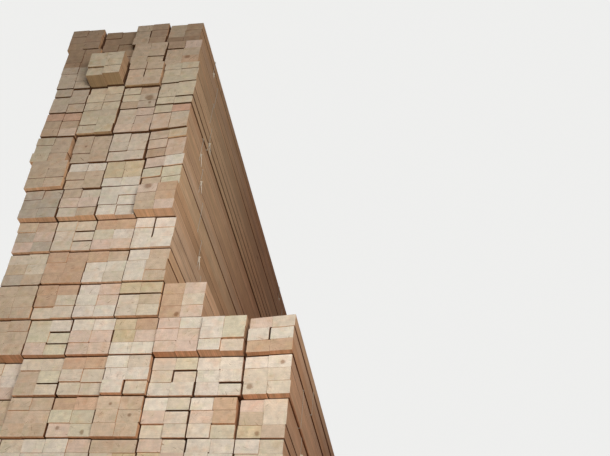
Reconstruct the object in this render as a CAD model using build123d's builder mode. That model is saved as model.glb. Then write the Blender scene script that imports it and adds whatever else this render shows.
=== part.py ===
from build123d import *
from collections import namedtuple
import os
import random

# A stack of sawn softwood battens, as a timber yard keeps them. Six battens are tied with twine into a bundle,
# two across and three up. The bundles are butted side by side in rows, and the rows lie straight on each other.
# The stack steps down towards its right side: the lowest rows are the widest, and the rest is a tall tower.
# X runs across the stack, Y along the battens with the ends in view at -Y, and Z up.
# The origin is under the middle of the stack, on the level that it lies on.

# Driving dimensions, in millimetres
batten_width = 63.0
batten_thickness = 38.0
batten_length = 3000.0
battens_across = 2
battens_up = 3
batten_gap = 0.2
end_play = 2.0
bundle_play = 3.0
twine_thickness = 0.9
twine_width = 3.0
twine_clearance = 0.1
twine_seat = 0.3
slit_height = 4.5
slit_width = 4.0
tie_lane = 6.0
tie_lanes = 3

# The stack from the floor up: how many rows there are of each width, and how many bundles such a row has.
# Every row starts at the left side.
low_rows, low_bundles = 4, 7
middle_rows, middle_bundles = 1, 5
tower_rows, tower_bundles = 10, 4

# How far each row lies in front of the row under it, and how far to the right of its place, from the floor up
row_forward = (0, 12, 12, 16, 10, 10, 8, 20, 5, 5, 5, 4, 2, -2, -6)
row_sideways = (0, -3, 2, 4, -1, 1, 3, -1, -7, -13, -15, -17, -20, -30, -45)

# How far behind the near ends each row is tied
tie_distance = (270, 310, 250, 400, 330, 290, 320, 275, 235, 190, 150, 205, 170, 215, 180)

# Bundles that lie further forward or back than their row. A key is (row, column), both counted from 0,
# from the floor up and from the left side.
bundle_forward = {
    (1, 0): -18, (1, 3): 4, (1, 4): -6, (1, 5): -6, (1, 6): -8,
    (2, 0): -24, (2, 3): 6, (2, 4): -6, (2, 5): -6, (2, 6): 6,
    (3, 4): 8, (3, 5): 12, (3, 6): 9,
    (4, 3): 2, (4, 4): -6,
    (5, 0): -6, (5, 3): 4,
    (7, 2): 6, (7, 3): 18,
    (8, 0): 11,
    (9, 1): -4, (9, 2): 7,
    (10, 1): 7,
    (12, 1): 60, (12, 2): 9, (12, 3): 4,
    (13, 1): -26, (13, 0): -10,
    (14, 1): -24, (14, 0): -6, (14, 3): -8,
}

# Bundles that lie further to the right or left than their row
bundle_sideways = {(9, 0): -11, (10, 0): -4, (12, 3): 9, (1, 6): 6, (2, 6): 7, (3, 6): 7}

# Battens with a slit over them or to the right of them, where a bowed one stands off its neighbour.
# A key is (row, column, across, up), with across and up counted from 0 inside the bundle.
slit_over = {
    (1, 4, 1, 1), (2, 1, 1, 0), (2, 4, 1, 1), (2, 5, 1, 0), (3, 1, 1, 0), (3, 1, 1, 1), (4, 3, 0, 1), (4, 3, 1, 1),
    (6, 1, 1, 0), (6, 1, 1, 1), (7, 1, 1, 0), (7, 1, 1, 2), (8, 3, 0, 1), (10, 3, 0, 1), (11, 0, 0, 1), (11, 0, 1, 2),
    (11, 3, 1, 0), (12, 2, 1, 1), (13, 2, 1, 0), (13, 3, 0, 1),
}
slit_beside = {(2, 3, 0, 0), (2, 4, 0, 1), (3, 6, 0, 1), (6, 3, 0, 1), (6, 3, 0, 2), (12, 2, 0, 1), (14, 2, 0, 1)}

# Battens that sit back from the others of their bundle, and by how much
set_back = 6.0
battens_set_back = {
    (1, 4, 0, 0), (1, 5, 1, 0), (2, 1, 0, 1), (2, 2, 0, 0), (2, 2, 1, 0), (2, 3, 1, 0), (3, 5, 1, 0), (4, 1, 0, 0),
    (7, 2, 1, 0), (8, 3, 0, 0), (8, 3, 1, 0), (8, 3, 1, 1), (9, 3, 0, 0), (9, 3, 1, 0), (9, 3, 1, 1), (11, 1, 0, 2),
    (12, 1, 0, 0),
}

# Sizes that follow
bundle_gap = twine_thickness + 2 * twine_clearance + twine_seat
bundle_width = battens_across * (batten_width + batten_gap) - batten_gap
bundle_height = battens_up * (batten_thickness + batten_gap) - batten_gap
column_pitch = bundle_width + bundle_gap
row_pitch = bundle_height + bundle_gap
columns_in_row = [low_bundles] * low_rows + [middle_bundles] * middle_rows + [tower_bundles] * tower_rows
stack_rows = len(columns_in_row)

Bundle = namedtuple("Bundle", "row column x y z")


def lay_stack():
    """Every bundle of the stack from the floor up, with x, y and z of its lower left near corner."""
    bundles = []
    forward = 0
    for row, columns in enumerate(columns_in_row):
        chance = random.Random(row)
        forward += row_forward[row % len(row_forward)]
        sideways = row_sideways[row % len(row_sideways)]
        for column in range(columns):
            x = column * column_pitch + sideways + bundle_sideways.get((row, column), 0)
            y = -forward - bundle_forward.get((row, column), 0) + chance.uniform(-bundle_play, bundle_play)
            bundles.append(Bundle(row, column, x, y, row * row_pitch))
    return bundles


def lay_battens(bundles):
    """The lower left near corner of every batten, keyed by its row, column, across and up."""
    places = {}
    for bundle in bundles:
        chance = random.Random(f"{bundle.row} {bundle.column}")
        for up in range(battens_up):
            for across in range(battens_across):
                key = (bundle.row, bundle.column, across, up)
                places[key] = (
                    bundle.x + across * (batten_width + batten_gap),
                    bundle.y + set_back * (key in battens_set_back) + chance.uniform(-end_play, end_play),
                    bundle.z + up * (batten_thickness + batten_gap),
                )
    return places


stack = lay_stack()
battens = lay_battens(stack)

# The middle of the stack in plan, with the twine that stands proud of its two sides
twine_proud = twine_clearance + twine_thickness
left = min(bundle.x for bundle in stack) - twine_proud
right = max(bundle.x for bundle in stack) + bundle_width + twine_proud
near = min(y for x, y, z in battens.values())
far = max(y for x, y, z in battens.values()) + batten_length
centre_x = (left + right) / 2
centre_y = (near + far) / 2

os.makedirs("parts", exist_ok=True)

# The battens, one node for each row of bundles. A bowed batten is shown by its slit: it is that much thinner,
# or narrower, than the others.
for row in range(stack_rows):
    whole, under_slit, beside_slit = [], [], []
    for key, (x, y, z) in battens.items():
        if key[0] == row:
            group = under_slit if key in slit_over else beside_slit if key in slit_beside else whole
            group.append((x - centre_x, y - centre_y, z))
    with BuildPart() as battens_row:
        corner = (Align.MIN, Align.MIN, Align.MIN)
        with Locations(*whole):
            Box(batten_width, batten_length, batten_thickness, align=corner)
        if under_slit:
            with Locations(*under_slit):
                Box(batten_width, batten_length, batten_thickness - slit_height, align=corner)
        if beside_slit:
            with Locations(*beside_slit):
                Box(batten_width - slit_width, batten_length, batten_thickness, align=corner)
    battens_row.part.label = f"battens_row_{row + 1:02d}"
    export_step(battens_row.part, f"parts/{battens_row.part.label}.step")

# The twine, one node for each row: a tight loop near both ends of each bundle and one at its middle.
# Under the lowest row the twine is pressed away between wood and floor, so those loops have three sides.
inner_width = bundle_width + 2 * twine_clearance
inner_height = bundle_height + 2 * twine_clearance
for row in range(stack_rows):
    behind = tie_distance[row % len(tie_distance)]
    loops = []
    for bundle in stack:
        if bundle.row == row:
            lane = behind + tie_lane * (bundle.column % tie_lanes)
            x = bundle.x + bundle_width / 2 - centre_x
            z = bundle.z + bundle_height / 2
            loops += [(x, y - batten_length / 2, z) for y in (lane, batten_length / 2 + lane, batten_length - lane)]
    with BuildPart() as twine_row:
        with Locations(*loops):
            Box(inner_width + 2 * twine_thickness, twine_width, inner_height + 2 * twine_thickness)
            Box(inner_width, twine_width, inner_height, mode=Mode.SUBTRACT)
        if row == 0:
            with Locations(*[(x, y, 0) for x, y, z in loops]):
                Box(
                    inner_width + 4 * twine_thickness, twine_width, 2 * twine_proud,
                    align=(Align.CENTER, Align.CENTER, Align.MAX), mode=Mode.SUBTRACT,
                )
    twine_row.part.label = f"twine_row_{row + 1:02d}"
    export_step(twine_row.part, f"parts/{twine_row.part.label}.step")
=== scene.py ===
import math

import bpy
import numpy as np
from mathutils import Euler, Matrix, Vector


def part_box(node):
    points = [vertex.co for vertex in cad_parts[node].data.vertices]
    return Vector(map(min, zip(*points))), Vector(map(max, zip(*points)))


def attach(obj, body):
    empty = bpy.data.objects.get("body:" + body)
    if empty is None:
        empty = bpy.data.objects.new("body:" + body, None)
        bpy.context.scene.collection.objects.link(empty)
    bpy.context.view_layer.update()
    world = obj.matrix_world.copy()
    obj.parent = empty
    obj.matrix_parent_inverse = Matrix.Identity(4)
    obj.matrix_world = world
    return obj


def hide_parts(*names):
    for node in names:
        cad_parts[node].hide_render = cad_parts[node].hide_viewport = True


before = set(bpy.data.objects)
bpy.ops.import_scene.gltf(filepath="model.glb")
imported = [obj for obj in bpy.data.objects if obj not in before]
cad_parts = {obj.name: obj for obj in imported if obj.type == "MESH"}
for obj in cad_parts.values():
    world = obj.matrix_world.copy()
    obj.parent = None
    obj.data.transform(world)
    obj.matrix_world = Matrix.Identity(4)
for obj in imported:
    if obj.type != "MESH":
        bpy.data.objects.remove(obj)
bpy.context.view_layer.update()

# Battens: 438 of them, of softwood as sawn, cross cut to one length. They lie two across and three up in a
# bundle, and the bundles are butted side by side in rows, with ends that stand unevenly. Settling under its
# own weight has brought some rows of the stack out of level.
batten_length = 3.0
battens_up, battens_across = 3, 2
bundle_width = 0.1262
row_pitch = 0.1158
stack_rows, stack_columns = 15, 7

# How battens differ. A pair is the least and the most that chance gives. From the first loose row up there
# is more room round a bundle, and battens on a row's two sides bow more than those inside.
edge_worn = 0.0003, 0.0010
wane_worn = 0.004
wane_share = 0.015
joint_wander = 0.0008
sizing_play = 0.0001
slack_beside, slack_over = (0.0004, 0.0012), (0.0005, 0.0018)
first_loose_row, high_slack = 7, 0.0008
bow_inside, bow_outside = 0.0006, 0.0022
end_out_of_square = math.radians(0.35)
saw_burr = 0.0006
burr_shrink = 0.994
batten_stations = (0.0, 0.35, 0.65, 1.0)
end_reach = 0.01
# How much more room there is over the last batten of each row, from the floor up
sunk_side = (
    0, -0.001, -0.001, 0, -0.0005, -0.0005, 0.002, -0.001, -0.001, -0.001, 0.003, -0.001, -0.001, -0.001, 0,
)

# Bundles that are out of level. A key is the joint over so many rows, and the column. Its values lift the
# joint at the bundle's left and right side. At the far ends chance lifts every joint.
level_joint = (0.0, 0.0)
settling = {
    (13, 2): (0.000, -0.005), (13, 3): (-0.014, -0.015),
    (12, 2): (-0.014, -0.012), (12, 3): (-0.004, 0.003),
    (11, 0): (-0.005, -0.005), (11, 1): (-0.005, 0.000), (11, 3): (0.008, 0.011),
    (10, 0): (0.002, 0.000), (10, 3): (0.003, 0.016),
    (9, 0): (0.004, 0.001), (9, 1): (-0.006, -0.006), (9, 2): (-0.009, -0.006), (9, 3): (0.003, 0.018),
    (8, 3): (-0.013, 0.000), (8, 0): (-0.004, 0.002),
    (4, 4): (-0.005, -0.003), (4, 5): (-0.009, -0.005), (4, 6): (-0.016, -0.004),
    (3, 6): (-0.009, -0.002), (2, 6): (-0.007, -0.003), (1, 3): (-0.003, -0.003),
}
far_lift = 0.003
far_chance = np.random.default_rng(8)
far_settling = {
    (joint, column): far_chance.uniform(-far_lift, far_lift, 2)
    for joint in range(1, stack_rows) for column in range(stack_columns)
}
# Bundles that lie a little off their place: how far to the right, and how far back
in_place = (0.0, 0.0)
shoved = {
    (10, 3): (-0.003, 0.0), (11, 3): (0.001, 0.0), (12, 3): (-0.006, 0.006), (12, 2): (0.002, 0.0),
    (13, 3): (0.002, 0.0), (9, 2): (0.0, 0.009),
}

# Colours of the sawn ends, as a timber yard would name them, and a small shift of them all
timber_tones = {
    "cream": (213, 195, 171),
    "white": (221, 206, 186),
    "greenish": (209, 195, 167),
    "pink": (213, 187, 165),
    "tan": (200, 176, 149),
    "yellow": (207, 186, 152),
    "orange": (199, 166, 136),
    "brown": (183, 154, 127),
    "grey": (190, 173, 152),
    "weathered": (168, 140, 113),
    "rosy": (211, 158, 131),
}
end_balance = np.asarray([1.0, 1.02, 1.05])
# How pale the ends of each row are against the others, from the floor up
row_paleness = (1.02, 1.08, 1.01, 0.96, 0.92, 0.91, 0.91, 0.87, 0.90, 0.90, 0.95, 1.04, 1.06, 1.06, 1.0)
paleness_play, hue_play = (0.955, 1.045), (0.99, 1.01)

# Lots that a bundle or an odd batten takes its tone from by chance. High rows are evened out towards tan.
low_lot = (
    ["cream"] * 6 + ["white"] * 3 + ["greenish"] * 2 + ["pink"] * 3 + ["tan"] * 3 + ["yellow"] + ["orange"]
)
high_lot = ["cream"] * 2 + ["greenish"] * 2 + ["pink"] * 2 + ["tan"] * 4 + ["yellow"] * 3 + ["brown"] * 2
top_lot = ["tan", "brown", "brown", "weathered"]
first_high_row, first_top_row = 9, 13
high_lot_even = 0.45
odd_share = 0.35

# Tones that don't follow chance, by (row, column), counted from 0, from the floor up and from the left. A
# bundle has one tone, or a left and a right one in its top, middle and bottom layer. A dash is chance.
standing_out = {
    (0, 5): "white",
    (1, 1): "tan",
    (1, 2): "orange orange, greenish greenish, pink -",
    (1, 3): "tan",
    (1, 4): "white -, pink -, - -",
    (1, 5): "white orange, pink orange, - greenish",
    (1, 6): "pink cream, tan cream, yellow tan",
    (2, 1): "cream cream, tan greenish, tan cream",
    (2, 2): "orange orange, cream cream, cream cream",
    (2, 3): "white -, white white, white -",
    (2, 4): "cream greenish, cream cream, white white",
    (2, 5): "white",
    (2, 6): "white white, cream cream, cream cream",
    (3, 0): "tan",
    (3, 1): "- white, - -, - -",
    (3, 2): "white white, pink pink, pink pink",
    (3, 3): "yellow -, yellow pink, white white",
    (3, 4): "pink white, pink -, pink -",
    (3, 5): "white greenish, - greenish, white cream",
    (3, 6): "pink cream, white white, orange orange",
    (4, 0): "tan",
    (4, 1): "orange orange, orange cream, cream cream",
    (4, 2): "white pink, white pink, white white",
    (4, 3): "yellow yellow, - -, - -",
    (4, 4): "orange pink, orange -, orange pink",
    (5, 0): "cream cream, tan cream, grey tan",
    (5, 1): "orange",
    (5, 2): "orange tan, white white, white -",
    (5, 3): "white tan, white tan, white tan",
    (6, 0): "tan tan, grey pink, pink grey",
    (6, 1): "cream",
    (6, 2): "orange orange, greenish white, pink pink",
    (6, 3): "white",
    (7, 0): "grey",
    (7, 2): "white",
    (7, 3): "- orange, tan orange, tan pink",
    (8, 0): "tan",
    (8, 1): "white white, tan tan, - -",
    (8, 2): "yellow yellow, yellow yellow, white white",
    (8, 3): "pink -, greenish greenish, - greenish",
    (9, 0): "greenish tan, greenish tan, greenish tan",
    (9, 1): "tan",
    (9, 2): "white",
    (9, 3): "pink -, pink pink, brown pink",
    (10, 0): "rosy rosy, - -, - pink",
    (10, 1): "greenish",
    (10, 2): "cream pink, cream pink, pink pink",
    (10, 3): "greenish rosy, pink -, pink -",
    (11, 0): "grey",
    (11, 1): "greenish",
    (11, 2): "greenish -, greenish grey, - grey",
    (11, 3): "greenish",
    (12, 0): "grey",
    (12, 1): "greenish",
    (12, 2): "tan",
    (12, 3): "greenish",
    (13, 0): "weathered",
    (13, 1): "brown",
    (13, 2): "tan",
    (13, 3): "brown pink, - -, - orange",
    (14, 0): "brown",
    (14, 1): "weathered",
    (14, 2): "tan -, tan -, tan -",
    (14, 3): "tan brown, tan brown, weathered weathered",
}

# Bundles whose battens are dark with damp along their sides, and how damp chance makes the others at most
stained = {(12, 1)}
most_stain = 0.85

# Knots that the cross cut has gone through: (row, column, across, up), then the knot's place in the end,
# counted from its middle, and its radius. All other ends have their knot far outside.
cut_knots = {
    (11, 2, 1, 1): (0.004, -0.010, 0.020),
    (11, 2, 1, 0): (0.010, 0.004, 0.008),
    (7, 3, 0, 2): (0.002, 0.002, 0.017),
    (2, 6, 1, 2): (0.008, -0.006, 0.009),
    (1, 2, 1, 0): (0.006, -0.006, 0.009),
    (1, 2, 0, 0): (-0.004, 0.006, 0.008),
    (4, 4, 0, 0): (0.020, -0.012, 0.010),
    (1, 3, 0, 2): (0.006, -0.004, 0.006),
    (1, 3, 1, 1): (0.002, 0.002, 0.007),
    (1, 6, 0, 0): (0.020, -0.006, 0.009),
    (9, 1, 0, 1): (0.010, 0.008, 0.006),
    (2, 6, 0, 0): (-0.014, -0.002, 0.012),
    (13, 3, 1, 0): (-0.010, 0.002, 0.014),
}
knot_elsewhere = (1.0, 1.0, 0.001)

# Growth rings: how far the pith lies from the batten's middle, how wide a ring is and how far it wobbles.
# The last value shifts each batten's pattern along its length, so that no two are alike.
pith_off = 0.02, 0.10
ring_width = 0.0028, 0.0055
ring_wobble = 0.010
pattern_shift = 40

# Factors across, along and up a batten, for patterns that are drawn out along it or leave its length out,
# and the span that nearly all of a noise lies in
slow_growth = (1.0, 0.12, 1.0)
without_length = (1.0, 0.0, 1.0)
noise_span = 0.3, 0.7

# Joints get painted shade. It starts a little in front of the next batten's end, between bundles and inside
# one, with a pair for low and for high rows. It takes in a lip that overhangs, and fades out at its edges.
# A side with an open gap beside it stays bare, so its shade lies far off.
strip_between = 0.003, 0.008
strip_inside = 0.0012, 0.0045
shaded_lip = 0.004
shade_fade = 0.003
open_gap = 0.005
far_off = 9.0


def linear(srgb):
    """A colour given as three numbers up to 255, in a shader's linear values, by the sRGB formula."""
    share = np.asarray(srgb, float) / 255
    return np.where(share < 0.04045, share / 12.92, ((share + 0.055) / 1.055) ** 2.4)


def facing_boxes(node, axis, side):
    """Bounding boxes of a node's flat faces that point along one axis, as rows of lowest and highest corner.
    Half of a rectangle has the same bounding box as the whole, so its two triangles give one row."""
    flat_within, digits = 1e-6, 5
    mesh = node.data
    place = np.empty(3 * len(mesh.vertices))
    corner = np.empty(3 * len(mesh.polygons), int)
    mesh.vertices.foreach_get("co", place)
    mesh.loops.foreach_get("vertex_index", corner)
    triangle = place.reshape(-1, 3)[corner.reshape(-1, 3)]
    turn = np.cross(triangle[:, 1] - triangle[:, 0], triangle[:, 2] - triangle[:, 0])[:, axis]
    flat = np.ptp(triangle[:, :, axis], axis=1) < flat_within
    chosen = triangle[flat & (np.sign(turn) == side)]
    boxes = np.hstack([chosen.min(axis=1), chosen.max(axis=1)])
    return np.unique(boxes.round(digits), axis=0)


def in_order(boxes):
    """The same rows from the floor up, and from left to right in each layer."""
    same_layer = 0.0025
    layer = (boxes[:, 2] / same_layer).round()
    return boxes[np.lexsort((boxes[:, 0], layer))]


def settled(place, left, bottom, row, column):
    """Points of many pieces, lifted with the bundle that each piece belongs to. The lift is blended between
    the four corners of the bundle's end, and from the near end's lift to the far end's."""
    fit = (-1,) + (1,) * (place.ndim - 2)
    across = (place[..., 0] - left.reshape(fit)) / bundle_width
    level = (place[..., 2] - bottom.reshape(fit)) / row_pitch
    along = np.clip(place[..., 1] / batten_length + 0.5, 0, 1)
    lifts = []
    for lifted in (settling, far_settling):
        under_and_over = []
        for joint in (row, row + 1):
            ends = np.asarray([lifted.get(key, level_joint) for key in zip(joint, column)])
            at_left, at_right = ends[:, 0].reshape(fit), ends[:, 1].reshape(fit)
            under_and_over.append(at_left * (1 - across) + at_right * across)
        under, over = under_and_over
        lifts.append(under * (1 - level) + over * level)
    aside, back = np.asarray([shoved.get(key, in_place) for key in zip(row, column)]).T
    moved = place.copy()
    moved[..., 0] += aside.reshape(fit)
    moved[..., 1] += back.reshape(fit)
    moved[..., 2] += lifts[0] * (1 - along) + lifts[1] * along
    return moved


def tube_faces(count, stations, around):
    """Corner numbers of the walls of many like tubes. Point numbers run round the section first, then along
    the tube, then from tube to tube. A wall joins two neighbours in a section to the same two in the next."""
    tube = np.arange(count)[:, None, None] * stations * around
    along = np.arange(stations - 1)[None, :, None] * around
    here = np.arange(around)[None, None, :]
    after = (here + 1) % around
    base = tube + along
    walls = np.stack([base + here, base + after, base + around + after, base + around + here], axis=-1)
    return walls.reshape(-1, 4)


def cap_faces(count, stations, around):
    """Corner numbers of both end faces of many like tubes. The first is turned round, so both face out."""
    tube = np.arange(count)[:, None] * stations * around
    ring = np.arange(around)[None, :]
    return np.vstack([tube + ring[:, ::-1], tube + (stations - 1) * around + ring])


def mesh_piece(name, points, walls, caps, finishes):
    """One object from its points, four-cornered walls and many-cornered caps. Walls take the first finish,
    caps the last one."""
    mesh = bpy.data.meshes.new(name)
    corners = np.concatenate([walls.ravel(), caps.ravel()])
    sizes = np.concatenate([np.full(len(walls), walls.shape[1]), np.full(len(caps), caps.shape[1])])
    mesh.vertices.add(len(points))
    mesh.vertices.foreach_set("co", points.ravel())
    mesh.loops.add(len(corners))
    mesh.loops.foreach_set("vertex_index", corners)
    mesh.polygons.add(len(sizes))
    mesh.polygons.foreach_set("loop_start", np.concatenate([[0], np.cumsum(sizes)[:-1]]))
    mesh.polygons.foreach_set("loop_total", sizes)
    for finish in finishes:
        mesh.materials.append(finish)
    slots = np.concatenate([np.zeros(len(walls), int), np.full(len(caps), len(finishes) - 1)])
    mesh.polygons.foreach_set("material_index", slots)
    mesh.update(calc_edges=True)
    mesh.shade_flat()
    piece = bpy.data.objects.new(name, mesh)
    bpy.context.collection.objects.link(piece)
    return piece


def note(piece, name, kind, values, domain="POINT"):
    """Keeps one value for each point or face of a piece, for its finish to read."""
    attribute = piece.data.attributes.new(name, kind, domain)
    field = {"FLOAT": "value", "FLOAT_VECTOR": "vector", "FLOAT_COLOR": "color"}[kind]
    attribute.data.foreach_set(field, np.ascontiguousarray(values, dtype=np.float32).ravel())


def part(tree, kind, settings=(), **inputs):
    """One node of a finish. A socket is named, or numbered as i0, i1 and so on. An input that is another
    node's output is linked, and anything else is set on the socket."""
    made = tree.nodes.new(kind)
    for key, value in dict(settings).items():
        setattr(made, key, value)
    for key, value in inputs.items():
        socket = made.inputs[int(key[1:])] if key[1:].isdigit() else made.inputs[key.replace("_", " ")]
        if isinstance(value, bpy.types.NodeSocket):
            tree.links.new(value, socket)
        else:
            socket.default_value = value
    return made


def noted(tree, name, output="Vector"):
    """What was noted on the piece's points or faces."""
    return part(tree, "ShaderNodeAttribute", {"attribute_name": name}).outputs[output]


def sum_up(tree, operation, first, second=0.0):
    """One sum with numbers."""
    return part(tree, "ShaderNodeMath", {"operation": operation}, i0=first, i1=second).outputs[0]


def times(tree, first, second):
    """One number multiplied by another."""
    return sum_up(tree, "MULTIPLY", first, second)


def sum_vectors(tree, operation, first, second=(0, 0, 0)):
    """One sum with vectors."""
    made = part(tree, "ShaderNodeVectorMath", {"operation": operation}, i0=first, i1=second)
    return made.outputs["Value" if operation == "LENGTH" else "Vector"]


def stretched(tree, vector, factors):
    """A vector with its parts across, along and up multiplied, each by its own factor."""
    return sum_vectors(tree, "MULTIPLY", vector, factors)


def split(tree, vector):
    """The three parts of a vector, as outputs X, Y and Z."""
    return part(tree, "ShaderNodeSeparateXYZ", {}, Vector=vector).outputs


def spread(tree, value, between, to, smooth=False):
    """A value moved from one range to another. Outside the first range it stays at the second one's ends."""
    (low, high), (to_low, to_high) = between, to
    settings = {"interpolation_type": "SMOOTHSTEP" if smooth else "LINEAR"}
    made = part(tree, "ShaderNodeMapRange", settings, i0=value, i1=low, i2=high, i3=to_low, i4=to_high)
    return made.outputs[0]


def speckle(tree, where, fineness, detail=2.0):
    """Cloudy noise between 0 and 1. Its fineness is one number, or three for across, along and up."""
    if isinstance(fineness, tuple):
        where, fineness = stretched(tree, where, fineness), 1.0
    return part(tree, "ShaderNodeTexNoise", {}, Vector=where, Scale=fineness, Detail=detail).outputs["Fac"]


def tinted(tree, amount, base, over, blend="MULTIPLY"):
    """A colour with another one laid over it, by an amount between 0 and 1."""
    settings = {"data_type": "RGBA", "blend_type": blend}
    return part(tree, "ShaderNodeMix", settings, i0=amount, i6=base, i7=over).outputs[2]


def shaded(tree, colour, value, between, tones):
    """A colour made darker or lighter by a value that runs through a range, from one tone to the other."""
    return tinted(tree, 1.0, colour, spread(tree, value, between, tones))


def patched(tree, colour, noise, between, most, tint):
    """A colour with a tint where a noise is strong. A patch's edge is as soft as the range is wide."""
    return tinted(tree, spread(tree, noise, between, (0.0, most), smooth=True), colour, tint)


def new_finish(name):
    """A material, with its nodes and its shader."""
    finish = bpy.data.materials.new(name)
    finish.use_nodes = True
    return finish, finish.node_tree, finish.node_tree.nodes["Principled BSDF"]


def dress(tree, shader, colour, roughness, gloss, height, strength, depth):
    """Gives a shader its colour, roughness and gloss, and bumps that follow a height."""
    tree.links.new(colour, shader.inputs["Base Color"])
    shader.inputs["Roughness"].default_value = roughness
    shader.inputs["Specular IOR Level"].default_value = gloss
    bump = part(tree, "ShaderNodeBump", {}, Strength=strength, Distance=depth, Height=height)
    tree.links.new(bump.outputs["Normal"], shader.inputs["Normal"])


def shut_in(tree, place):
    """Whether a point of a wall lies where another batten covers it, as the strength of the painted joint
    shade: 0 in the open, 1 in a joint. It follows from the shorter of the ways to the covered part's edge,
    across and along the batten."""
    from_low = sum_vectors(tree, "SUBTRACT", place, noted(tree, "covered_from"))
    from_high = sum_vectors(tree, "SUBTRACT", noted(tree, "covered_to"), place)
    depth = split(tree, sum_vectors(tree, "MINIMUM", from_low, from_high))
    inside = sum_up(tree, "MINIMUM", depth["X"], depth["Y"])
    return spread(tree, inside, (0.0, shade_fade), (0.0, 1.0), smooth=True)


def side_wood(tree, place, grown, wood, stain):
    """The colour of a batten's sawn sides: its own, browned by air and damp, in long streaks. Walls that
    face right get painted shade away from the near ends, and all are darker near the ground. Undersides
    get painted light, and painted shade again high up."""
    browned, browning, damp_tones = (0.63, 0.355, 0.180, 1.0), 0.72, (1.07, 0.76)
    wood = tinted(tree, browning, wood, browned, blend="MIX")
    wood = shaded(tree, wood, stain, (0.0, 1.0), damp_tones)
    facing = split(tree, tree.nodes.new("ShaderNodeNewGeometry").outputs["Normal"])
    spot = split(tree, place)
    faces_right = spread(tree, facing["X"], (0.2, 0.8), (0.3, 1.0))
    # Painted shade: on walls that face right it deepens further in from the near ends
    shade_further_in = spread(tree, spot["Y"], (-1.2, -0.3), (0.0, 1.0), smooth=True)
    near_ground = spread(tree, spot["Z"], (0.3, 0.6), (1.0, 0.0), smooth=True)
    # Painted light makes undersides lighter, and painted shade darkens them again high up
    underside = spread(tree, facing["Z"], (-0.9, -0.6), (1.0, 0.0), smooth=True)
    high_up = spread(tree, spot["Z"], (0.95, 1.25), (0.0, 1.0), smooth=True)
    for amount, tint in (
        (times(tree, shade_further_in, faces_right), (0.77, 0.62, 0.56, 1.0)),
        (near_ground, (0.96, 0.84, 0.80, 1.0)),
        (underside, (1.22, 1.20, 1.22, 1.0)),
        (times(tree, underside, high_up), (0.62, 0.66, 0.58, 1.0)),
    ):
        wood = tinted(tree, amount, wood, tint)
    streak = speckle(tree, grown, (110.0, 1.1, 110.0))
    return shaded(tree, wood, streak, noise_span, (0.84, 1.12))


def end_marks(tree, place, grown, radius, colour):
    """What a cross cut shows over its rings: pale green and pink clouds, dark specks, drying cracks that
    run out from the pith, and a knot where the end has one. The knot's edge is made ragged by noise."""
    green_cloud, pink_cloud = (0.93, 0.97, 0.88, 1.0), (1.0, 0.89, 0.83, 1.0)
    speck_tint, crack_tint = (0.56, 0.44, 0.33, 1.0), (0.40, 0.29, 0.21, 1.0)
    knot_tint = (0.42, 0.30, 0.22, 1.0)
    cloud_depth, crack_depth, knot_depth = 0.6, 0.75, 0.75
    cracks_around, cracks_outward, raggedness = 26.0, 30.0, 0.35
    for shift, fineness, between, tint in (
        ((5.3, 0.0, 0.0), 34.0, (0.50, 0.70), green_cloud),
        ((0.0, 0.0, 7.9), 34.0, (0.50, 0.70), pink_cloud),
        ((2.7, 0.0, 3.3), 130.0, (0.68, 0.78), speck_tint),
    ):
        noise = speckle(tree, sum_vectors(tree, "ADD", grown, shift), fineness)
        colour = patched(tree, colour, noise, between, cloud_depth, tint)
    across = split(tree, grown)
    bearing = times(tree, sum_up(tree, "ARCTAN2", across["Z"], across["X"]), cracks_around)
    outward = times(tree, radius, cracks_outward)
    ray = part(tree, "ShaderNodeCombineXYZ", {}, X=bearing, Y=outward, Z=across["Y"]).outputs[0]
    colour = patched(tree, colour, speckle(tree, ray, 1.0, 1.0), (0.70, 0.76), crack_depth, crack_tint)
    knot = noted(tree, "knot")
    away = stretched(tree, sum_vectors(tree, "SUBTRACT", place, knot), without_length)
    share = sum_up(tree, "DIVIDE", sum_vectors(tree, "LENGTH", away), split(tree, knot)["Y"])
    edge = spread(tree, speckle(tree, grown, 90.0), (0.0, 1.0), (-raggedness, raggedness))
    heart = spread(tree, sum_up(tree, "ADD", share, edge), (0.35, 1.05), (knot_depth, 0.0), smooth=True)
    return tinted(tree, heart, colour, knot_tint)


def side_marks(tree, place, grown, colour):
    """What a sawn side shows: small knots in about a fourth of the cells that divide it, and painted shade
    in the joints.
    """
    knot_tint, joint_shade = (0.40, 0.26, 0.17, 1.0), (0.25, 0.175, 0.125, 1.0)
    cell = part(tree, "ShaderNodeTexVoronoi", {}, Vector=stretched(tree, grown, (9.0, 4.5, 9.0)), Scale=1.0)
    lot = part(tree, "ShaderNodeSeparateColor", {}, Color=cell.outputs["Color"]).outputs[0]
    chosen = spread(tree, lot, (0.74, 0.76), (0.0, 1.0))
    heart = spread(tree, cell.outputs["Distance"], (0.05, 0.12), (0.85, 0.0), smooth=True)
    colour = tinted(tree, times(tree, heart, chosen), colour, knot_tint)
    # Painted shade where another batten covers a wall, and on lips that overhang
    return tinted(tree, shut_in(tree, place), colour, joint_shade)


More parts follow.
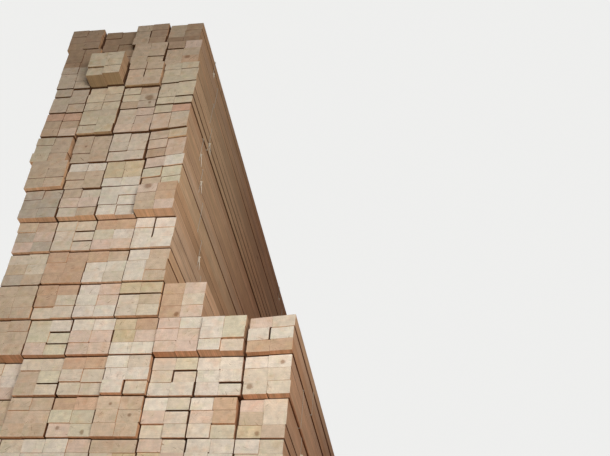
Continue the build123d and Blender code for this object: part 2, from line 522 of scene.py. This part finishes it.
def sawn_wood(name, cross_cut):
    """Softwood with growth rings round a pith that runs beside the batten, which a cross cut shows as arcs
    and a sawn side as long lines. The ring is the distance from the pith over the ring's width."""
    finish, tree, shader = new_finish(name)
    place = tree.nodes.new("ShaderNodeTexCoord").outputs["Object"]
    wood, stain = noted(tree, "wood", "Color"), noted(tree, "stain", "Fac")
    grown = sum_vectors(tree, "SUBTRACT", place, noted(tree, "pith"))
    slow = stretched(tree, grown, slow_growth)
    wobble = spread(tree, speckle(tree, slow, 22.0), (0.0, 1.0), (-ring_wobble, ring_wobble))
    radius = sum_up(tree, "ADD", sum_vectors(tree, "LENGTH", stretched(tree, grown, without_length)), wobble)
    ring = sum_up(tree, "DIVIDE", times(tree, radius, math.tau), noted(tree, "ring", "Fac"))
    late_wood = spread(tree, sum_up(tree, "SINE", ring), (0.1, 1.0), (0.0, 1.0), smooth=True)
    if cross_cut:
        ring_depth, cloud_fineness, cloud_tones = 0.22, 55.0, (0.87, 1.10)
        fibre = speckle(tree, grown, 420.0)
        saw = speckle(tree, grown, (25.0, 1.0, 320.0), 3.0)
    else:
        ring_depth, cloud_fineness, cloud_tones = 0.4, 7.0, (0.88, 1.10)
        fibre = speckle(tree, grown, (380.0, 7.0, 380.0), 3.0)
        saw = speckle(tree, grown, (6.0, 260.0, 6.0))
        wood = side_wood(tree, place, grown, wood, stain)
    late_tint, warm_tint, saw_depth = (0.80, 0.70, 0.58, 1.0), (0.86, 0.66, 0.45, 1.0), 0.8
    colour = tinted(tree, times(tree, late_wood, ring_depth), wood, late_tint)
    colour = shaded(tree, colour, speckle(tree, grown, cloud_fineness, 3.0), (0.28, 0.72), cloud_tones)
    colour = shaded(tree, colour, fibre, noise_span, (0.92, 1.06))
    colour = shaded(tree, colour, saw, noise_span, (0.94, 1.05))
    warm = speckle(tree, sum_vectors(tree, "ADD", slow, (3.1, 0.0, 1.7)), 26.0, 3.0)
    warm = spread(tree, warm, (0.45, 0.75), (0.0, 0.5), smooth=True)
    colour = tinted(tree, times(tree, warm, stain), colour, warm_tint)
    if cross_cut:
        colour = end_marks(tree, place, grown, radius, colour)
    else:
        colour = side_marks(tree, place, grown, colour)
    height = sum_up(tree, "ADD", fibre, times(tree, saw, saw_depth))
    dress(tree, shader, colour, roughness=0.86, gloss=0.25, height=height, strength=0.35, depth=0.0006)
    return finish


def covers(row, ends_of_row):
    """For the left, top, right and bottom side of every batten in a row, the two plan corners of what
    covers it, which bound the painted joint shade. A lip that overhangs a little is taken as covered as well."""
    near_ends, far_ends = ends_of_row[row]
    count = len(near_ends)
    in_layer = count // battens_up
    low = np.tile((far_off, far_off, 0.0), (count, 4, 1))
    high = -low
    outer_strip, inner_strip = strip_between[row >= first_high_row], strip_inside[row >= first_loose_row]
    for batten in range(count):
        up, place = divmod(batten, in_layer)
        for side, step in ((0, -1), (2, 1)):
            left, right = sorted((batten, batten + step))
            if 0 <= place + step < in_layer and near_ends[right, 0] - near_ends[left, 3] < open_gap:
                strip = inner_strip if left % battens_across == 0 else outer_strip
                low[batten, side, :2] = -far_off, near_ends[batten + step, 1] - strip
                high[batten, side, :2] = far_off, far_ends[batten + step, 1]
        for side, step in ((1, 1), (3, -1)):
            other_row, other_up = row + (up + step) // battens_up, (up + step) % battens_up
            if 0 <= other_row < len(ends_of_row):
                near_layer, far_layer = (
                    np.split(ends, battens_up)[other_up] for ends in ends_of_row[other_row]
                )
                strip = inner_strip if other_row == row else outer_strip
                if place < len(near_layer):
                    low[batten, side, :2] = near_layer[:, 0].min() - shaded_lip, near_layer[place, 1] - strip
                    high[batten, side, :2] = near_layer[:, 3].max() + shaded_lip, far_layer[place, 1]
    return low, high


def places_in_row(count):
    """Every batten's layer and its place in it, and its column and its place across the bundle."""
    up, place = np.divmod(np.arange(count), count // battens_up)
    column, across = np.divmod(place, battens_across)
    return up, place, column, across


def wandering(chance, *shape):
    """Chance shifts of joints, the rare large ones cut to twice the usual amount."""
    return chance.normal(0, joint_wander, shape).clip(-2 * joint_wander, 2 * joint_wander)


def sections(chance, row, near_ends):
    """The x and z of the eight corners of every batten's section in a row, and of its middle. The section
    is a rectangle with each edge worn by its own amount. No two battens are sawn quite alike, so joints
    inside a bundle wander a little, its layers lie a little aslant, and there is some room round it."""
    count = len(near_ends)
    in_layer = count // battens_up
    up, place, column, across = places_in_row(count)
    low_x, low_z, high_x, high_z = near_ends[:, [0, 2, 3, 5]].T
    wander = wandering(chance, battens_up + 1, in_layer)
    wander[[0, -1]] = 0
    low_z, high_z = low_z + wander[up, place], high_z + wander[up + 1, place]
    layer_shift, middle_shift = wandering(chance, 2, battens_up, in_layer // battens_across)
    low_x = low_x + layer_shift[up, column] + np.where(across == 1, middle_shift[up, column], 0)
    high_x = high_x + layer_shift[up, column] + np.where(across == 0, middle_shift[up, column], 0)
    play = chance.uniform(0, sizing_play, (3, count))
    slack = [chance.uniform(*limits, count) for limits in (slack_beside, slack_beside, slack_over)]
    if row >= first_loose_row:
        slack = [room + high_slack for room in slack]
    low_x = low_x + np.where(across == 0, slack[0], play[0])
    high_x = high_x - np.where(across == battens_across - 1, slack[1], play[1])
    sunk = np.where(place == in_layer - 1, sunk_side[row], 0.0)
    high_z = high_z - np.where(up == battens_up - 1, slack[2] + sunk, play[2])
    worn = chance.uniform(*edge_worn, (count, 4))
    worn = np.where(chance.random((count, 4)) < wane_share, wane_worn, worn)
    low_left, high_left, high_right, low_right = worn.T
    section_x = np.stack([
        low_x, low_x, low_x + high_left, high_x - high_right,
        high_x, high_x, high_x - low_right, low_x + low_left,
    ], axis=1)
    section_z = np.stack([
        low_z + low_left, high_z - high_left, high_z, high_z,
        high_z - high_right, low_z + low_right, low_z, low_z,
    ], axis=1)
    return section_x, section_z, (low_x + high_x) / 2, (low_z + high_z) / 2


def batten_points(chance, section_x, section_z, middle_x, middle_z, near, far, most_bow):
    """Points of many battens: each section, carried from the near end to the far one. An end is a little
    smaller, up to the burr, and out of square. Between them the batten bows by half a sine wave."""
    count = len(near)
    along = near[:, None] + (far - near)[:, None] * np.asarray(batten_stations)
    first, last = along[:, :1], along[:, -1:]
    along = np.hstack([first, first + saw_burr, along[:, 1:-1], last - saw_burr, last])
    reach = (along - near[:, None]) / (far - near)[:, None]
    shrink = np.ones(along.shape[1])
    shrink[[0, -1]] = burr_shrink
    # Chance gives two numbers for each batten, and the first one bows it sideways
    bow = chance.uniform(-1, 1, (count, 2))[:, 0] * most_bow
    x = middle_x[:, None, None] + (section_x - middle_x[:, None])[:, None, :] * shrink[None, :, None]
    z = middle_z[:, None, None] + (section_z - middle_z[:, None])[:, None, :] * shrink[None, :, None]
    slant = np.tan(chance.normal(0, end_out_of_square, (count, 2, 2)))
    skew = np.take_along_axis(slant, np.where(reach < 0.5, 0, 1)[:, :, None], axis=1)
    at_end = (np.minimum(reach, 1 - reach) < end_reach)[:, :, None]
    aside, above = x - middle_x[:, None, None], z - middle_z[:, None, None]
    y = along[:, :, None] + at_end * (skew[:, :, :1] * aside + skew[:, :, 1:] * above)
    x = x + (bow[:, None] * np.sin(np.pi * reach))[:, :, None]
    return np.stack([x, y, z], axis=-1)


def end_colours(chance, row, keys):
    """The colour of every batten in a row: its tone, from the list or by chance, shifted a little."""
    count = len(keys)
    lot = top_lot if row >= first_top_row else high_lot if row >= first_high_row else low_lot
    bundle_tones = chance.choice(lot, count // (battens_up * battens_across))
    odd_tones = chance.choice(lot, count)
    odd = chance.random(count) < odd_share
    colours = []
    for batten, key in enumerate(keys):
        by_chance = odd_tones[batten] if odd[batten] else bundle_tones[key[1]]
        colour = linear(timber_tones[tone_of.get(key, by_chance)])
        if first_high_row <= row < first_top_row:
            colour = colour * (1 - high_lot_even) + linear(timber_tones["tan"]) * high_lot_even
        colour = colour * row_paleness[row] * end_balance
        colours.append(colour * chance.uniform(*paleness_play) * chance.uniform(*hue_play, 3))
    return np.hstack([np.asarray(colours), np.ones((count, 1))])


tone_of = {}
for (row, column), told in standing_out.items():
    tones = told.replace(",", " ").split()
    if len(tones) == 1:
        tones = tones * battens_up * battens_across
    for seen, tone in enumerate(tones):
        down, across = divmod(seen, battens_across)
        if tone != "-":
            tone_of[row, column, across, battens_up - 1 - down] = tone

sawn_side = sawn_wood("sawn softwood", cross_cut=False)
sawn_end = sawn_wood("cross-cut softwood", cross_cut=True)
# The side, of left, top, right and bottom, that each of a batten's eight walls belongs to
side_of_wall = [0, 1, 1, 1, 2, 3, 3, 3]

batten_rows = sorted(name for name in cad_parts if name.startswith("battens_row_"))
ends_of_row = [
    [in_order(facing_boxes(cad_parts[name], 1, side)) for side in (-1, 1)] for name in batten_rows
]
chance = np.random.default_rng(31)
for row, node_name in enumerate(batten_rows):
    near_ends, far_ends = ends_of_row[row]
    count = len(near_ends)
    up, place, column, across = places_in_row(count)
    outer = (place == 0) | (place == place.max())

    section_x, section_z, middle_x, middle_z = sections(chance, row, near_ends)
    points = batten_points(
        chance, section_x, section_z, middle_x, middle_z, near_ends[:, 1], far_ends[:, 1],
        np.where(outer, bow_outside, bow_inside),
    )
    bundle_left = near_ends[:, 0] - across * (bundle_width / battens_across)
    bundle_bottom = np.full(count, near_ends[:, 2].min())
    points = settled(points, bundle_left, bundle_bottom, np.full(count, row), column)
    stations, around = points.shape[1:3]
    walls, caps = tube_faces(count, stations, around), cap_faces(count, stations, around)
    piece = mesh_piece(f"sawn_{node_name}", points.reshape(-1, 3), walls, caps, (sawn_side, sawn_end))

    # Colour, knot, pith, ring width and stain of every batten, and what covers its sides
    keys = [(row, *map(int, where)) for where in zip(column, across, up)]
    colours = end_colours(chance, row, keys)
    right_of, above, size = np.asarray([cut_knots.get(key, knot_elsewhere) for key in keys]).T
    knots = np.stack([middle_x + right_of, size, middle_z + above], axis=1)
    angle = chance.uniform(0, math.tau, count)
    off = chance.uniform(*pith_off, count)
    shift = chance.uniform(-pattern_shift, pattern_shift, count)
    piths = np.stack([middle_x + off * np.cos(angle), shift, middle_z + off * np.sin(angle)], axis=1)
    rings = chance.uniform(*ring_width, count)
    stains = chance.uniform(0.0, most_stain, count) ** 2
    stains[[(row, number) in stained for number in column]] = 1.0
    for name, kind, values in (
        ("wood", "FLOAT_COLOR", colours), ("pith", "FLOAT_VECTOR", piths), ("ring", "FLOAT", rings),
        ("stain", "FLOAT", stains), ("knot", "FLOAT_VECTOR", knots),
    ):
        note(piece, name, kind, np.repeat(values, stations * around, axis=0))
    walls_shape = (count, stations - 1, around, 3)
    covered = zip(("covered_from", "covered_to"), covers(row, ends_of_row), (far_off, -far_off))
    for name, corners, open_corner in covered:
        of_walls = np.broadcast_to(corners[:, None, side_of_wall, :], walls_shape).reshape(-1, 3)
        of_caps = np.full((len(caps), 3), open_corner)
        note(piece, name, "FLOAT_VECTOR", np.vstack([of_walls, of_caps]), "FACE")
    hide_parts(node_name)
    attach(piece, "root")

# Twine: thin pale two-ply string ties each bundle near both ends and at its middle, pulled tight and pressed
# flat. On the stack's two sides some loops show their knot, with two short tails that hang down.
# The second colour is painted shade for the grooves between the plies
twine_colour, shade_between_plies = linear((226, 216, 196)), (0.55, 0.45, 0.33, 1.0)
twist_length = 0.006
points_round = 5
pressed_wider = 1.5
half_thick = 0.00045
corner_turn = 0.0016
column_pitch = 0.1276
height_play = 0.0003
# Knots and tails. A profile is the thickness along a strand, as shares of its size.
knots_outside = 0.4
knot_size, knot_profile = 0.0048, np.asarray((0.35, 0.9, 1.0, 0.9, 0.35))
knot_proud, knot_height, knot_lean, knot_play = 0.4, 0.8, 0.3, 0.03
tail_length, tail_thick, tail_profile = (0.018, 0.042), 0.0013, np.asarray((1.0, 1.0, 0.9, 0.5))
tail_swings, swing_play = (-0.35, 0.45), 0.15


def twisted_twine(name):
    """Two plies that turn round each other: stripes that follow the length and the way round the strand,
    with painted shade in the groove between the plies.
    """
    finish, tree, shader = new_finish(name)
    run = split(tree, noted(tree, "lay"))
    turn = sum_up(tree, "ADD", times(tree, run["X"], math.tau / twist_length), run["Y"])
    lay = sum_up(tree, "SINE", turn)
    groove = spread(tree, lay, (-1.0, 0.3), (0.45, 0.0), smooth=True)
    colour = tinted(tree, groove, (*twine_colour, 1.0), shade_between_plies)
    hair = speckle(tree, tree.nodes.new("ShaderNodeTexCoord").outputs["Object"], 900.0)
    colour = shaded(tree, colour, hair, noise_span, (0.85, 1.1))
    dress(tree, shader, colour, roughness=0.9, gloss=0.2, height=lay, strength=0.6, depth=0.0005)
    return finish


def loop_points(loops):
    """Points of many tight loops. Each runs round a rectangle with eight turning points, two at a corner,
    and its section is a flat ring of points: wide along the batten, thin away from the wood."""
    left, right = loops[:, 0], loops[:, 3]
    bottom, top = loops[:, 2], loops[:, 5]
    middle, half_wide = (loops[:, 1] + loops[:, 4]) / 2, (loops[:, 4] - loops[:, 1]) / 2 * pressed_wider
    outward = half_thick * np.cos(spin)
    sideways = np.sin(spin)[None, :] * half_wide[:, None]
    turn = corner_turn
    corner_x = np.stack([
        left, left, left + turn, right - turn, right, right, right - turn, left + turn,
    ], axis=1)
    corner_z = np.stack([
        bottom + turn, top - turn, top, top, top - turn, bottom + turn, bottom, bottom,
    ], axis=1)
    out_x = np.asarray([-1, -1, -0.5, 0.5, 1, 1, 0.5, -0.5])
    out_z = np.asarray([-0.5, 0.5, 1, 1, 0.5, -0.5, -1, -1])
    x = corner_x[:, :, None] + out_x[None, :, None] * (outward[None, None, :] - half_thick)
    z = corner_z[:, :, None] + out_z[None, :, None] * (outward[None, None, :] - half_thick)
    y = np.broadcast_to(middle[:, None, None] + sideways[:, None, :], x.shape)
    return np.stack([x, y, z], axis=-1)


def strand_points(path, thick):
    """Points of many short strands: level rings of points, with a thickness each, along a path."""
    ring = np.stack([np.cos(spin), np.sin(spin), np.zeros(points_round)], axis=-1)
    return path[:, :, None, :] + thick[None, :, None, None] * ring


def strand_lay(points):
    """For each point of a strand, how far along the strand it lies and how far round it."""
    centre = points.mean(axis=2)
    run = np.cumsum(np.linalg.norm(np.diff(centre, axis=1, prepend=centre[:, :1]), axis=2), axis=1)
    return np.stack([
        np.broadcast_to(run[:, :, None], points.shape[:3]), np.broadcast_to(spin, points.shape[:3]),
        np.zeros(points.shape[:3]),
    ], axis=-1)


def knot_and_tails(chance, loops, side, edge):
    """For each of some loops, a knot on one side of the stack and its two tails, which hang down and swing
    apart. Each is a straight strand, with the thickness that its profile gives along it."""
    count = len(loops)
    middle = (loops[:, 1] + loops[:, 4]) / 2
    level = (loops[:, 2] + loops[:, 5]) / 2 + chance.uniform(-knot_play, knot_play, count)
    knot = np.stack([loops[:, edge] + side * knot_size * knot_proud, middle, level], axis=-1)
    steps = np.linspace(-1, 1, len(knot_profile))
    path = knot[:, None, :] + steps[None, :, None] * np.asarray([0, knot_lean, 1]) * knot_size * knot_height
    strands = [strand_points(path, knot_profile * knot_size)]
    for swing in tail_swings:
        drop = np.linspace(0, 1, len(tail_profile))[None, :] * chance.uniform(*tail_length, (count, 1))
        aside = drop * (swing + chance.uniform(-swing_play, swing_play, (count, 1)))
        path = knot[:, None, :] + np.stack([np.full_like(drop, side * tail_thick), aside, -drop], axis=-1)
        strands.append(strand_points(path, tail_profile * tail_thick))
    return strands


twine = twisted_twine("pale string")
spin = np.arange(points_round) / points_round * math.tau
# The order of a face's corners, as it is for a strand that runs up and turned round for one that runs down
upward, downward = slice(None), slice(None, None, -1)

chance = np.random.default_rng(17)
twine_rows = sorted(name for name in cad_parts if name.startswith("twine_row_"))
for row, node_name in enumerate(twine_rows):
    # A loop's outer faces are as tall as the whole node, and its inner ones aren't
    low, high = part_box(node_name)
    outer = []
    for side in (-1, 1):
        boxes = facing_boxes(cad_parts[node_name], 0, side)
        boxes = boxes[np.ptp(boxes[:, [2, 5]], axis=1) > (high[2] - low[2]) - height_play]
        outer.append(boxes[np.lexsort((boxes[:, 0].round(4), boxes[:, 1].round(4)))])
    loops = np.hstack([outer[0][:, :3], outer[1][:, 3:]])
    columns = np.round((loops[:, 0] - loops[:, 0].min()) / column_pitch).astype(int)

    # A loop is closed, but in the lowest row it ends on the floor at both sides
    strands = loop_points(loops)
    if row:
        strands = np.concatenate([strands, strands[:, :1]], axis=1)
    else:
        strands = strands[:, :6].copy()
        strands[:, 0, :, 2] = strands[:, 5, :, 2] = 0.0
    shapes = [(strands, np.arange(len(loops)), downward)]
    for side, edge, column in ((-1, 0, 0), (1, 3, columns.max())):
        tied = np.flatnonzero((columns == column) & (chance.random(len(loops)) < knots_outside))
        if len(tied):
            knot, *tails = knot_and_tails(chance, loops[tied], side, edge)
            shapes += [(knot, tied, upward)] + [(tail, tied, downward) for tail in tails]

    points, lays, walls, caps, start = [], [], [], [], 0
    for strands, tied, order in shapes:
        count, stations, around = strands.shape[:3]
        lays.append(strand_lay(strands).reshape(-1, 3))
        walls.append(tube_faces(count, stations, around)[:, order] + start)
        caps.append(cap_faces(count, stations, around)[:, order] + start)
        placed = settled(strands, loops[tied, 0], loops[tied, 2], np.full(count, row), columns[tied])
        points.append(placed.reshape(-1, 3))
        start += count * stations * around
    piece = mesh_piece(f"tied_{node_name}", np.vstack(points), np.vstack(walls), np.vstack(caps), (twine,))
    note(piece, "lay", "FLOAT_VECTOR", np.vstack(lays))
    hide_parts(node_name)
    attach(piece, "root")

# Stage: a pale floor at the level that the stack lies on. The photograph looks up from below that level, so
# the floor is solid from above and clear from below. The light is soft, and comes from low in front.
floor_reach, floor_drop = 14.0, 0.0004
floor_colour, floor_seen, floor_shown = (0.78, 0.77, 0.75, 1.0), (0.84, 0.84, 0.83, 1.0), 0.72
backdrop_seen = (0.86, 0.86, 0.85, 1.0)
ambient_colour, ambient_strength = (1.0, 0.99, 0.98, 1.0), 0.04


def straight_look(tree):
    """1 for what is seen straight, in gloss or through glass, and 0 for the light that falls on things."""
    seen = tree.nodes.new("ShaderNodeLightPath").outputs
    by_gloss_or_glass = sum_up(tree, "MAXIMUM", seen["Is Glossy Ray"], seen["Is Transmission Ray"])
    return sum_up(tree, "MAXIMUM", seen["Is Camera Ray"], by_gloss_or_glass)


def either(tree, amount, first, second):
    """Two shaders, blended by an amount between 0 and 1."""
    return part(tree, "ShaderNodeMixShader", {}, i0=amount, i1=first, i2=second).outputs[0]


floor_finish, tree, floor_shader = new_finish("pale floor")
floor_shader.inputs["Base Color"].default_value = floor_colour
floor_shader.inputs["Roughness"].default_value = 0.9
clear = tree.nodes.new("ShaderNodeBsdfTransparent").outputs[0]
shown = part(tree, "ShaderNodeEmission", {}, Color=floor_seen, Strength=1.0).outputs[0]
pale_floor = either(tree, times(tree, straight_look(tree), floor_shown), floor_shader.outputs[0], shown)
from_below = tree.nodes.new("ShaderNodeNewGeometry").outputs["Backfacing"]
one_sided = either(tree, from_below, pale_floor, clear)
tree.links.new(one_sided, tree.nodes["Material Output"].inputs["Surface"])
corners = np.asarray([(-1, -1, 0), (1, -1, 0), (1, 1, 0), (-1, 1, 0)]) * floor_reach - (0, 0, floor_drop)
floor = mesh_piece("floor", corners, np.asarray([[0, 1, 2, 3]]), np.zeros((0, 4), int), (floor_finish,))

world = bpy.data.worlds.new("studio")
bpy.context.scene.world = world
world.use_nodes = True
tree = world.node_tree
ambient = part(tree, "ShaderNodeBackground", {}, Color=ambient_colour, Strength=ambient_strength).outputs[0]
backdrop = part(tree, "ShaderNodeBackground", {}, Color=backdrop_seen, Strength=1.0).outputs[0]
surroundings = either(tree, straight_look(tree), ambient, backdrop)
tree.links.new(surroundings, tree.nodes["World Output"].inputs["Surface"])

# Place, turn, size, watts and spread of each lamp, narrowed so that little light goes past the stack
lamps = {
    "low key": ((1.15, -3.4, 0.25), (101, 0, 34), (1.6, 0.9), 22.0, 95),
    "overhead": ((-0.4, 0.2, 4.2), (0, 0, 0), (1.0, 2.6), 34.0, 130),
    "back": ((-1.6, 4.6, 1.4), (-88, 0, 16), (2.4, 2.0), 32.0, 130),
    "left": ((-3.6, 0.2, 1.3), (88, 0, -90), (3.4, 1.8), 36.0, 130),
}
for name, (place, turn, size, watts, light_spread) in lamps.items():
    light = bpy.data.lights.new(name, "AREA")
    light.shape, light.size, light.size_y, light.energy = "RECTANGLE", *size, watts
    light.spread = math.radians(light_spread)
    lamp = bpy.data.objects.new(name, light)
    lamp.location, lamp.rotation_euler = place, Euler([math.radians(angle) for angle in turn])
    lamp.visible_camera = False
    bpy.context.collection.objects.link(lamp)

# Camera: it stands where the photograph was taken, to the right of the stack's middle and below the level
# that it lies on, and looks up. Its focal length is that of the photograph, which is 610 by 456 pixels.
picture_width = 610
focal_pixels = 858.16
sensor_width = 36.0
camera = bpy.data.cameras.new("camera")
camera.sensor_width = sensor_width
camera.lens = focal_pixels / picture_width * sensor_width
camera_stand = bpy.data.objects.new("camera", camera)
camera_stand.location = (0.8708, -3.3913, -0.8361)
camera_stand.rotation_euler = Euler([math.radians(turn) for turn in (129.257, -4.042, 8.258)])
bpy.context.collection.objects.link(camera_stand)
bpy.context.scene.camera = camera_stand
bpy.context.scene.view_settings.view_transform = "Standard"
